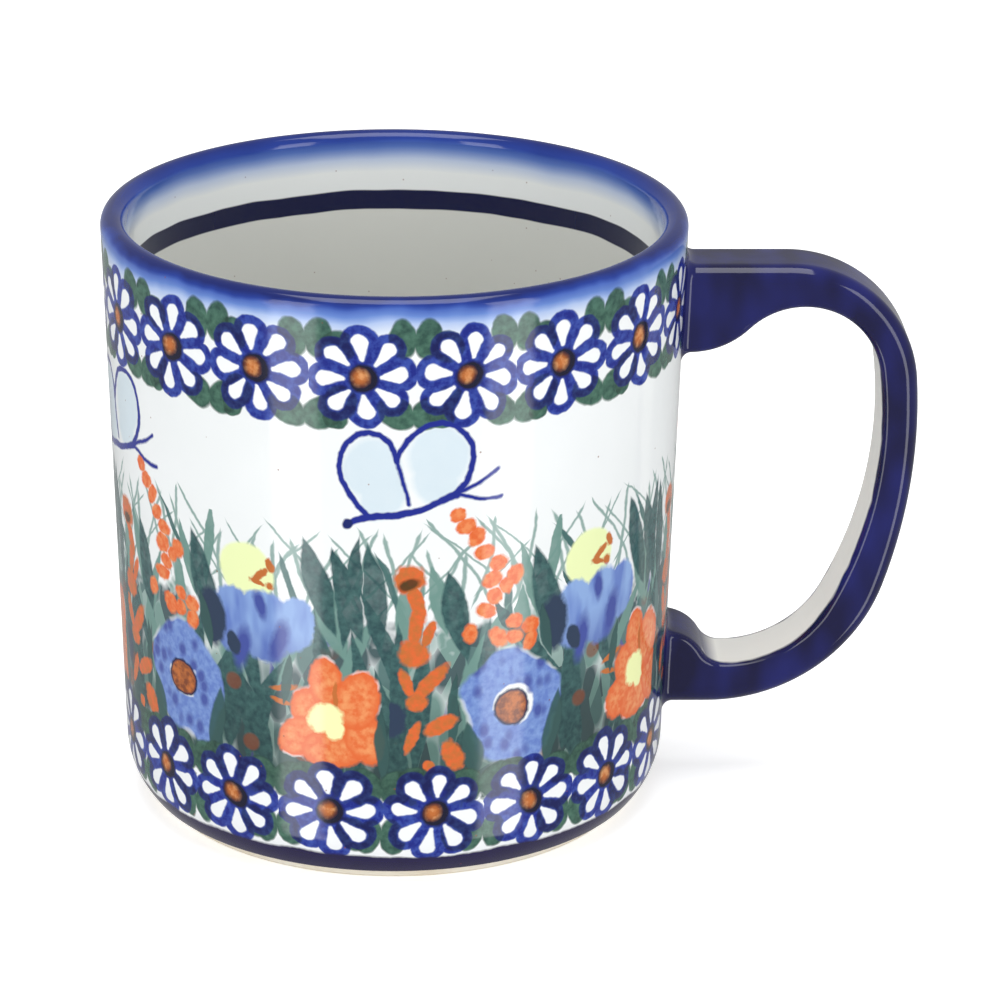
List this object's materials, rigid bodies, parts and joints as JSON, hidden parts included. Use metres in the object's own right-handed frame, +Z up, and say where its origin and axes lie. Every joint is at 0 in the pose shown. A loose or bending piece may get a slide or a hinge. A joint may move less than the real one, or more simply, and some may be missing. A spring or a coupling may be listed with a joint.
{
  "type": "stoneware mug",
  "caption": "Hand-painted stoneware mug: a straight, slightly tapered cup with a strap handle, for hot drinks.",
  "frame": {"origin": "the cup's axis at the surface that the mug stands on, in the middle of the foot ring", "axes": "+Z up along the cup's axis, +X towards the middle of the handle, +Y across the handle"},
  "size_m": [0.1264, 0.09, 0.095],
  "materials": {
    "bare_stoneware": "fired, unglazed, fine grained",
    "luting_slip": "fired slip of the same clay",
    "painted_glaze": "clear gloss over a hand-painted underglaze",
    "inside_glaze": "clear gloss over speckled cream stoneware",
    "cobalt_glaze": "clear gloss over deep cobalt, bare cream inside the loop",
    "clear_glaze": "clear gloss"
  },
  "bodies": {
    "root": {"cup": "bare_stoneware", "handle": "bare_stoneware", "upper_handle_slip": "luting_slip", "lower_handle_slip": "luting_slip", "outer_glaze": "painted_glaze", "inner_glaze": "inside_glaze", "handle_glaze": "cobalt_glaze", "base_glaze": "clear_glaze"}
  },
  "joints": []
}
